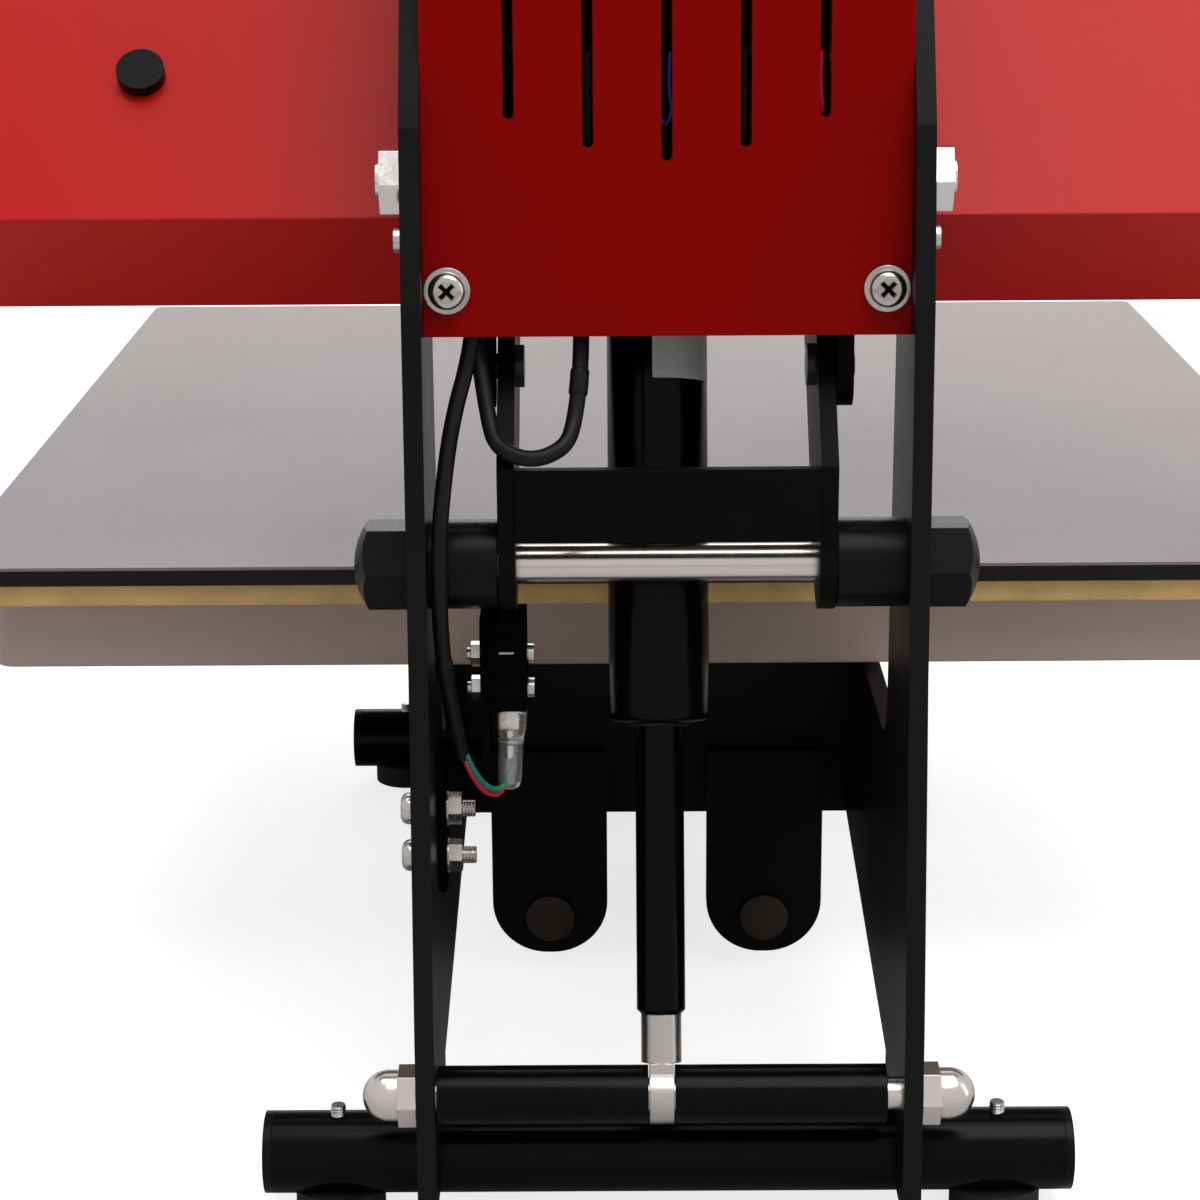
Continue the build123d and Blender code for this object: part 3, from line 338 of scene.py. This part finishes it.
def lathe(profile, axis_matrix, steps=48, closed=True):
    """A turned mesh. profile is (radius, along) pairs, turned about the local Z axis."""
    bm = bmesh.new()
    rings = []
    for r, z in profile:
        if r < 1e-6:
            rings.append([bm.verts.new((0, 0, z))])
            continue
        angles = [2 * math.pi * i / steps for i in range(steps)]
        rings.append([bm.verts.new((r * math.cos(a), r * math.sin(a), z)) for a in angles])
    pairs = list(zip(rings, rings[1:]))
    if closed and len(rings[0]) > 1 and len(rings[-1]) > 1:
        pairs.append((rings[-1], rings[0]))
    for a, b in pairs:
        for i in range(steps):
            j = (i + 1) % steps
            corners = [a[i % len(a)], a[j % len(a)], b[j % len(b)], b[i % len(b)]]
            unique = list(dict.fromkeys(corners))
            if len(unique) > 2:
                bm.faces.new(unique)
    bmesh.ops.recalc_face_normals(bm, faces=bm.faces)
    bm.transform(axis_matrix)
    return mesh_of(bm, "turned")


def curve_of(name, kind, points):
    cu = bpy.data.curves.new(name, "CURVE")
    cu.dimensions = "3D"
    sp = cu.splines.new(kind)
    sp.points.add(len(points) - 1)
    for p, q in zip(sp.points, points):
        p.co = (*q, 1)
    return cu, sp


def spline(name, points, resolution):
    """A smooth line with the points as its control points."""
    cu, sp = curve_of(name, "NURBS", points)
    sp.order_u = 3
    sp.use_endpoint_u = True
    sp.resolution_u = resolution
    return cu


def curve_mesh(cu):
    o = bpy.data.objects.new(cu.name, cu)
    bpy.context.scene.collection.objects.link(o)
    me = bpy.data.meshes.new_from_object(o)
    bpy.data.objects.remove(o)
    return me


def round_mesh(cu, radius, bevel_resolution):
    """The mesh of a round closed tube along the curve."""
    cu.bevel_depth = radius
    cu.bevel_resolution = bevel_resolution
    cu.use_fill_caps = True
    return curve_mesh(cu)


def tube(name, points, radius, material, bevel_resolution=3, resolution=10):
    """A smooth tube on the base, with the points as its line's control points."""
    mesh = round_mesh(spline(name, points, resolution), radius, bevel_resolution)
    return link(name, mesh, material, "base")


def line_of(points):
    """Points along the smooth line that a tube with these control points follows."""
    return [v.co.copy() for v in curve_mesh(spline("line", points, CABLE_RESOLUTION)).vertices]


def at(x, fwd, up):
    """A CAD place: across, forward of the pivot and up, in millimetres."""
    return Vector((x / 1000, PIVOT_Y - fwd / 1000, up / 1000))


def turn_about(degrees, axis):
    return Matrix.Rotation(math.radians(degrees), 4, axis)


# Foam grips with slightly crowned sides and rounded ends
HANDLE_ANGLE = math.radians(86)
HANDLE_REACH = 430
HANDLE_FWD, HANDLE_UP = 12, 250
grip_fwd = HANDLE_FWD + HANDLE_REACH * math.cos(HANDLE_ANGLE)
grip_up = HANDLE_UP + HANDLE_REACH * math.sin(HANDLE_ANGLE)
GRIP = at(0, grip_fwd, grip_up)
GRIP_R, GRIP_BORE = 0.0138, 0.0062
GRIP_CROWN, GRIP_LIP = 0.00015, 0.0022
GRIP_STEPS = 32


def grip_profile(low, high):
    length = high - low
    outer = []
    for k in range(GRIP_STEPS + 1):
        t = k / GRIP_STEPS
        crown = GRIP_CROWN * math.sin(math.pi * t)
        end = min(t, 1 - t) * length
        lip = GRIP_LIP * (1 - min(1, end / GRIP_LIP)) ** 2
        outer.append((GRIP_R + crown - lip, low + t * length))
    return [(GRIP_BORE, low)] + outer + [(GRIP_BORE, high)]


for i, (low, high) in enumerate(((-0.0447, 0.0447), (0.0493, 0.091), (-0.091, -0.0493))):
    me = lathe(grip_profile(low, high), Matrix.Translation(GRIP) @ turn_about(90, "Y"))
    piece = link(f"foam_grip_{i}", me, foam, "handle")
    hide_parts("handle_grips")

# Gas spring: bare label, and a thin wiper ring at its mouth
SPRING_RISE = 70.94
SPRING = Matrix.Translation(at(1.7, -24, 36.6)) @ turn_about(90 - SPRING_RISE, "X")
LABEL_R, LABEL_T = 0.01225, 0.00008
LABEL_LOW, LABEL_HIGH = 0.1705, 0.1838
LABEL_START, LABEL_STOP = 84, 170
LABEL_COLUMNS, LABEL_ROWS = 24, 8

bm = bmesh.new()
columns = []
for i in range(LABEL_COLUMNS + 1):
    a = math.radians(LABEL_START + (LABEL_STOP - LABEL_START) * i / LABEL_COLUMNS)
    heights = [LABEL_LOW + (LABEL_HIGH - LABEL_LOW) * k / LABEL_ROWS for k in range(LABEL_ROWS + 1)]
    columns.append([bm.verts.new((LABEL_R * math.cos(a), LABEL_R * math.sin(a), z)) for z in heights])
for a, b in zip(columns, columns[1:]):
    for k in range(LABEL_ROWS):
        bm.faces.new((a[k], b[k], b[k + 1], a[k + 1]))
bmesh.ops.solidify(bm, geom=bm.faces[:], thickness=-LABEL_T)
bm.transform(SPRING)
link("blank_label", mesh_of(bm, "blank_label"), label_paper, "spring_cylinder_body")
wiper = [(0.0059, 0.0879), (0.0068, 0.0879), (0.0071, 0.0882), (0.0071, 0.0886), (0.0059, 0.0886)]
link("wiper_ring", lathe(wiper, SPRING), rubber, "spring_cylinder_body")

# Flat ends of the support bars, rubbed gray
BAR_END_FWD, BAR_END_UP = 134.8, 15.5
disc = [(0.0, 0.00035), (0.0058, 0.00035), (0.0069, 0.00018), (0.0072, 0.0), (0.0, 0.0)]
for i, x in enumerate((-31.4, 31.4)):
    place = Matrix.Translation(at(x, BAR_END_FWD, BAR_END_UP)) @ turn_about(-90, "X")
    link(f"bar_end_{i}", lathe(disc, place, 40, closed=False), bar_end, "base")

# Crimp sleeve: clear, leaning a little, with a pinched waist and drawn-in end.
# The rows are radius and drop from the sleeve's top, in millimetres.
SLEEVE_TOP = 0.1244
SLEEVE_LEAN = -2.6
outer = [
    (3.35, 0.05), (3.6, 0.8), (3.7, 3.0), (3.65, 6.4), (3.3, 8.4), (2.85, 9.4),
    (2.95, 10.6), (3.05, 13.0), (3.0, 18.0), (2.9, 20.2), (2.5, 21.5), (2.0, 21.9),
]
inner = [
    (1.8, 21.6), (2.3, 21.2), (2.55, 20.0), (2.6, 18.0), (2.6, 13.0), (2.5, 10.8),
    (2.4, 9.5), (2.8, 8.6), (3.2, 6.4), (3.25, 3.0), (3.1, 0.05),
]
profile = [(r / 1000, -drop / 1000) for r, drop in outer + inner]
sleeve = Matrix.Translation(at(37.1, 10, SLEEVE_TOP * 1000)) @ turn_about(SLEEVE_LEAN, "Y")
piece = link("clear_crimp_sleeve", lathe(profile, sleeve, 36), clear, "base")
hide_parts("crimp_sleeve")
fold = [(0.0024, -0.0088), (0.0031, -0.0093), (0.0033, -0.0098), (0.0031, -0.0103), (0.0025, -0.0098)]
link("sleeve_fold", lathe(fold, sleeve, 30), clear, "base")

# Red and green switch wires
WIRE_R = 0.0007
wire_route = [
    (48.4, -0.6, 113.4), (46.8, 1.4, 108.2), (43.4, 5.2, 102.3), (39.6, 8.6, 101.2), (37.9, 9.6, 106.6),
]
for name, (right_by, fwd_by, up_by), material in (
    ("switch_wire_red", (0, 0, 0), wire_red),
    ("switch_wire_green", (-0.5, -0.6, 1.45), wire_green),
):
    points = [at(x + right_by, fwd + fwd_by, up + up_by) for x, fwd, up in wire_route]
    piece = tube(name, points, WIRE_R, material)
    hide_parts("switch_wires")

# Black wiring loops behind the cover, hung there so its slots show dark: partly wiring, partly painted
# shade. Each hangs from the housing's floor.
HOUSING_LOW = 279.4
COVER_LOOP_R = 0.0029
for i, (x, span, drop) in enumerate(((17.8, 17.8, 37.0), (-17.8, 14.0, 34.0))):
    high, middle, low = (HOUSING_LOW - drop * share for share in (0.4, 0.8, 1.16))
    points = [
        at(x, 9.0, HOUSING_LOW), at(x, 8.6, high), at(x - 0.2, 8.2, middle), at(x - span * 0.2, 8.4, low),
        at(x - span * 0.8, 9.6, low), at(x - span + 0.1, 10.4, middle), at(x - span, 10.4, high),
        at(x - span, 10.0, HOUSING_LOW),
    ]
    tube(f"cover_loop_{i}", points, COVER_LOOP_R, black_cable)
for i, (x, material) in enumerate(((-0.9, wire_blue), (-34.9, wire_red))):
    points = [
        at(x, 5.4, HOUSING_LOW), at(x + 0.5, 4.9, 272.0), at(x - 0.6, 4.6, 266.0),
        at(x + 1.4, 5.2, 262.5), at(x + 3.4, 5.6, 266.5), at(x + 3.8, 5.8, HOUSING_LOW),
    ]
    tube(f"cover_wire_{i}", points, WIRE_R, material)

# The two free cables under the housing, with their heat-shrink bands.
# The routes are the CAD's, in millimetres.
CABLE_R = 0.0019
CABLE_RESOLUTION = 20
CABLE_BEVEL = 5
switch_route = [
    (38.0, 8.0, 278.7), (38.0, 7.0, 262.0), (40.0, 5.0, 245.0), (43.6, 3.6, 228.0),
    (45.0, 1.9, 212.0), (49.5, -5.0, 197.0), (51.8, -12.0, 180.0), (52.7, -14.0, 166.3),
    (52.7, -12.0, 146.6), (51.4, -6.0, 130.0), (49.0, 0.0, 113.7),
]
loop_route = [
    (32.0, 9.0, 278.7), (34.0, 9.5, 262.0), (38.5, 9.0, 246.0), (42.5, 8.2, 230.0),
    (44.2, 5.6, 216.0), (41.0, -5.3, 196.9), (38.9, -11.1, 192.0), (31.1, -14.0, 189.5),
    (23.3, -11.1, 192.0), (21.2, -5.3, 196.9), (19.8, 0.0, 208.0), (19.6, 5.6, 220.0),
    (20.4, 8.2, 236.0), (22.0, 9.4, 256.0), (24.0, 10.0, 278.7),
]


def band(name, line, low, high, r):
    """A heat-shrink band on the stretch of a cable's line between two heights, in millimetres."""
    stretch = [p for p in line if low < p.z * 1000 < high]
    cu, sp = curve_of(name, "POLY", stretch)
    for p in sp.points:
        p.radius = 1.0
    sp.points[0].radius = sp.points[-1].radius = CABLE_R / r
    return link(name, round_mesh(cu, r, CABLE_BEVEL), black_cable, "base")


switch_points = [at(*place) for place in switch_route]
loop_points = [at(*place) for place in loop_route]
switch_line = line_of(switch_points)
loop_line = line_of(loop_points)
rising = loop_line[len(loop_line) // 2:]
loop_bands = [
    band("heat_shrink_0", rising, 202.0, 208.6, 0.00225),
    band("heat_shrink_1", rising, 223.0, 232.0, 0.00225),
]
switch_bands = [band("heat_shrink_2", switch_line, 135.0, 141.6, 0.0022)]
for name, points, line, length, bands in (
    ("switch_cable", switch_points, switch_line, 0.1716, switch_bands),
    ("loop_cable", loop_points, loop_line, 0.2024, loop_bands),
):
    piece = tube(name, points, CABLE_R, black_cable, CABLE_BEVEL, CABLE_RESOLUTION)
    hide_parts("switch_cables")

# Threads on the studs and screw ends
THREAD_PITCH = 0.0007
THREAD_HALF_WIDTH = THREAD_PITCH * 0.42
THREAD_STEPS = 14


def helix(name, base, axis, length, r, height):
    """A zinc thread of triangular section: r at its root, height above it at its crest."""
    z = Vector(axis).normalized()
    count = int(length / THREAD_PITCH * THREAD_STEPS)
    half = Vector((0, 0, THREAD_HALF_WIDTH))
    bm = bmesh.new()
    rings = []
    for i in range(count + 1):
        a = 2 * math.pi * i / THREAD_STEPS
        outward = Vector((math.cos(a), math.sin(a), 0))
        c = outward * r + Vector((0, 0, length * i / count))
        rings.append([bm.verts.new(c + outward * height), bm.verts.new(c - half), bm.verts.new(c + half)])
    for a, b in zip(rings, rings[1:]):
        for k in range(3):
            bm.faces.new((a[k], b[k], b[(k + 1) % 3], a[(k + 1) % 3]))
    bm.faces.new(rings[0])
    bm.faces.new(rings[-1])
    bmesh.ops.recalc_face_normals(bm, faces=bm.faces)
    bm.transform(Matrix.Translation(base) @ z.to_track_quat("Z", "Y").to_matrix().to_4x4())
    return link(name, mesh_of(bm, name), zinc, "base", smooth=False)


for i, (x, fwd) in enumerate(((80.5, -10), (-80.5, -10), (84.5, 301), (-76.5, 301))):
    helix(f"stud_thread_{i}", at(x, fwd, 24.4), (0, 0, 1), 0.0028, 0.00168, 0.00022)
for i, up in enumerate((84.8, 97.0)):
    helix(f"m4_thread_{i}", at(46.6, 10, up), (1, 0, 0), 0.0032, 0.00198, 0.00024)


def brick(name, place, size, material, bevel=0.0001):
    """A bevelled block on the base. size is in millimetres, place is a matrix."""
    bm = bmesh.new()
    bmesh.ops.create_cube(bm, size=1.0)
    bmesh.ops.scale(bm, vec=[s / 1000 for s in size], verts=bm.verts)
    bmesh.ops.bevel(bm, geom=bm.edges[:], offset=bevel, segments=3, affect="EDGES", profile=0.6)
    bm.transform(place)
    return link(name, mesh_of(bm, name), material, "base", smooth=False)


# Microswitch: plunger, moulding lines and terminal blade
SWITCH_X = 37.95
profile = [(0.0, 0.1466), (0.0013, 0.1466), (0.0013, 0.14672), (0.0011, 0.1468), (0.0, 0.1468)]
plunger = lathe(profile, Matrix.Translation(at(SWITCH_X, 12, 0)), 20, closed=False)
link("switch_plunger", plunger, black_matte, "base")
for i, z in enumerate((127.2, 133.2, 143.5)):
    rib = Matrix.Translation(at(SWITCH_X, 1.9, z))
    brick(f"switch_rib_{i}", rib, (8.8, 0.5, 0.7), black_matte)
brick("switch_dash", Matrix.Translation(at(38.1, 1.8, 139.1)), (3.6, 0.3, 0.55), bright_steel)
ridge = Matrix.Translation(at(33.3, 10, 133.1))
brick("switch_ridge", ridge, (0.5, 15.0, 1.0), black_matte)
brick("switch_blade", Matrix.Translation(at(SWITCH_X, 15.5, 121.7)), (4.2, 0.8, 5.4), brass, 0.0002)

# Black crosses laid in the cover's pan-head recesses: painted shade for their dark floors
COVER_RUN, COVER_RISE = 6.3, 85.6
COVER = Matrix.Translation(at(0, -3.8, 216.4)) @ Matrix.Rotation(math.atan2(COVER_RUN, COVER_RISE), 4, "X")
RECESS_FLOOR = Vector((50.0, 2.52, 10.6)) / 1000
for side, way in (("left", 1), ("right", -1)):
    head = COVER @ Matrix.Translation((way * RECESS_FLOOR.x, RECESS_FLOOR.y, RECESS_FLOOR.z))
    for i, turn in enumerate((45, 135)):
        cross = head @ turn_about(turn, "Y")
        brick(f"pan_cross_{side}_{i}", cross, (0.95, 0.2, 4.1), black_matte, 0.00005)

# Control panel: seven-segment digits, and marks on the buttons and the rocker
PANEL_RUN, PANEL_RISE = 36, 15
PANEL = Matrix.Translation(at(0, 62.0, 340.5)) @ Matrix.Rotation(math.atan2(PANEL_RISE, PANEL_RUN), 4, "X")
PANEL_QUARTER = math.hypot(PANEL_RUN, PANEL_RISE) / 4000
SEGMENTS = {"0": "abcdef", "1": "bc", "3": "abgcd", "8": "abcdefg"}
DIGIT_W, DIGIT_H = 0.0048, 0.0088
DIGIT_STROKE = DIGIT_W * 0.16
DIGIT_STEP = 1.45
DIGIT_LEVEL = 0.0012 + 0.00006
MARK_T = 0.00012
MARK_LONG, MARK_THIN = 0.0030, 0.0006
BUTTON_MARK_LEVEL = 0.00226
ROCKER_X, ROCKER_MARK_Y = 0.0325, 0.0035
ROCKER_MARK_LEVEL = 0.00206


def bar(bm, x, y, w, h, level):
    """A thin flat bar on the panel, in the panel's own plane."""
    made = bmesh.ops.create_cube(bm, size=1.0)["verts"]
    bmesh.ops.scale(bm, vec=(w, h, MARK_T), verts=made)
    bmesh.ops.translate(bm, vec=(x, y, level), verts=made)


def panel_piece(name, bm, material, body):
    bm.transform(PANEL)
    return link(name, mesh_of(bm, name), material, body, smooth=False)


def digits(name, text, x):
    """A row of digits, with the first one's middle at x."""
    bm = bmesh.new()
    t = DIGIT_STROKE
    w, h, y = DIGIT_W, DIGIT_H, PANEL_QUARTER
    for i, ch in enumerate(text):
        cx = x + i * w * DIGIT_STEP
        spots = {
            "a": (cx, y + h / 2, w - t, t), "g": (cx, y, w - t, t), "d": (cx, y - h / 2, w - t, t),
            "b": (cx + w / 2, y + h / 4, t, h / 2 - t), "c": (cx + w / 2, y - h / 4, t, h / 2 - t),
            "f": (cx - w / 2, y + h / 4, t, h / 2 - t), "e": (cx - w / 2, y - h / 4, t, h / 2 - t),
        }
        for s in SEGMENTS[ch]:
            bar(bm, *spots[s], DIGIT_LEVEL)
    return panel_piece(name, bm, digit_glow, "base")


digits("digits_heat", "180", -0.0265)
digits("digits_time", "030", 0.0005)
level_bar = (0, MARK_LONG, MARK_THIN)
button_marks = {
    "button_set_body": (-20, (level_bar, (0.0012, MARK_LONG, MARK_THIN))),
    "button_minus_body": (-6, (level_bar,)),
    "button_plus_body": (8, (level_bar, (0, MARK_THIN, MARK_LONG))),
}
for i, (body, (x, bars)) in enumerate(button_marks.items()):
    bm = bmesh.new()
    for rise, w, h in bars:
        bar(bm, x / 1000, -PANEL_QUARTER + rise, w, h, BUTTON_MARK_LEVEL)
    panel_piece(f"button_mark_{i}", bm, cream, body)
bm = bmesh.new()
bar(bm, ROCKER_X, ROCKER_MARK_Y, MARK_THIN, 0.0028, ROCKER_MARK_LEVEL)
panel_piece("rocker_mark_on", bm, cream, "rocker")
circle = [(0.0009, 0.002), (0.0014, 0.002), (0.0014, 0.00212), (0.0009, 0.00212)]
off_mark = lathe(circle, PANEL @ Matrix.Translation((ROCKER_X, -ROCKER_MARK_Y, 0)), 24)
link("rocker_mark_off", off_mark, cream, "rocker")

# Floor: matte, a little below the feet, and lifted to white where the camera or clear plastic shows it
FLOOR_HALF = 6.0
FLOOR_Z = -0.0004
FLOOR_LIFT = 0.76
corners = [(FLOOR_HALF * x, FLOOR_HALF * y) for x, y in ((-1, -1), (1, -1), (1, 1), (-1, 1))]
floor_mesh = bpy.data.meshes.new("floor")
floor_mesh.from_pydata([(x, y, FLOOR_Z) for x, y in corners], [], [(0, 1, 2, 3)])
floor = bpy.data.objects.new("floor", floor_mesh)
bpy.context.scene.collection.objects.link(floor)
m, nt = tree_of("floor")
out = add(nt, "ShaderNodeOutputMaterial")
matte = add(nt, "ShaderNodeBsdfPrincipled", i_Base_Color=(0.7, 0.7, 0.7, 1), i_Roughness=0.9)
white = add(nt, "ShaderNodeEmission", i_Color=(1, 1, 1, 1))
path = add(nt, "ShaderNodeLightPath")
seen = add(nt, "ShaderNodeMath", operation="MAXIMUM")
nt.links.new(path.outputs["Is Camera Ray"], seen.inputs[0])
nt.links.new(path.outputs["Is Transmission Ray"], seen.inputs[1])
lift = add(nt, "ShaderNodeMath", operation="MULTIPLY")
lift.inputs[1].default_value = FLOOR_LIFT
nt.links.new(seen.outputs[0], lift.inputs[0])
nt.links.new(lift.outputs[0], white.inputs["Strength"])
both = add(nt, "ShaderNodeAddShader")
nt.links.new(matte.outputs["BSDF"], both.inputs[0])
nt.links.new(white.outputs["Emission"], both.inputs[1])
nt.links.new(both.outputs["Shader"], out.inputs["Surface"])
floor_mesh.materials.append(m)

# World: dim as a light, white where the camera, a reflection or clear plastic shows it
WORLD_LIGHT, WORLD_WHITE = 0.3, 1.0
world = bpy.data.worlds.new("studio")
bpy.context.scene.world = world
world.use_nodes = True
nt = world.node_tree
nt.nodes.clear()
out = add(nt, "ShaderNodeOutputWorld")
dim = add(nt, "ShaderNodeBackground", i_Color=(1, 1, 1, 1), i_Strength=WORLD_LIGHT)
bright = add(nt, "ShaderNodeBackground", i_Color=(1, 1, 1, 1), i_Strength=WORLD_WHITE)
path = add(nt, "ShaderNodeLightPath")
seen = path.outputs["Is Camera Ray"]
for ray in ("Is Glossy Ray", "Is Transmission Ray"):
    either = add(nt, "ShaderNodeMath", operation="MAXIMUM")
    nt.links.new(seen, either.inputs[0])
    nt.links.new(path.outputs[ray], either.inputs[1])
    seen = either.outputs[0]
mix = add(nt, "ShaderNodeMixShader")
nt.links.new(seen, mix.inputs["Fac"])
nt.links.new(dim.outputs["Background"], mix.inputs[1])
nt.links.new(bright.outputs["Background"], mix.inputs[2])
nt.links.new(mix.outputs["Shader"], out.inputs["Surface"])


# Lamps
def lamp(name, where, target, size, power, glossy=True):
    data = bpy.data.lights.new(name, "AREA")
    data.shape = "RECTANGLE"
    data.size, data.size_y = size
    data.energy = power
    o = bpy.data.objects.new(name, data)
    bpy.context.scene.collection.objects.link(o)
    o.visible_glossy = glossy
    o.location = where
    o.rotation_euler = (Vector(target) - Vector(where)).to_track_quat("-Z", "Y").to_euler()


aim = (0, 0.1, 0.2)
lamp("key", (-0.4, 0.8, 1.9), aim, (1.3, 1.1), 25)
lamp("top", (0.1, -0.3, 2.1), aim, (1.8, 1.4), 21)
lamp("behind_left", (1.1, 1.7, 0.9), aim, (1.0, 1.0), 1.5, glossy=False)
lamp("behind_right", (-1.1, 1.7, 0.9), aim, (1.0, 1.0), 2.6, glossy=False)
lamp("front", (0.0, -1.8, 1.3), aim, (1.4, 1.2), 12)
lamp("strip", (-1.5, 0.5, 0.5), (0, 0.15, 0.2), (0.25, 1.4), 4)
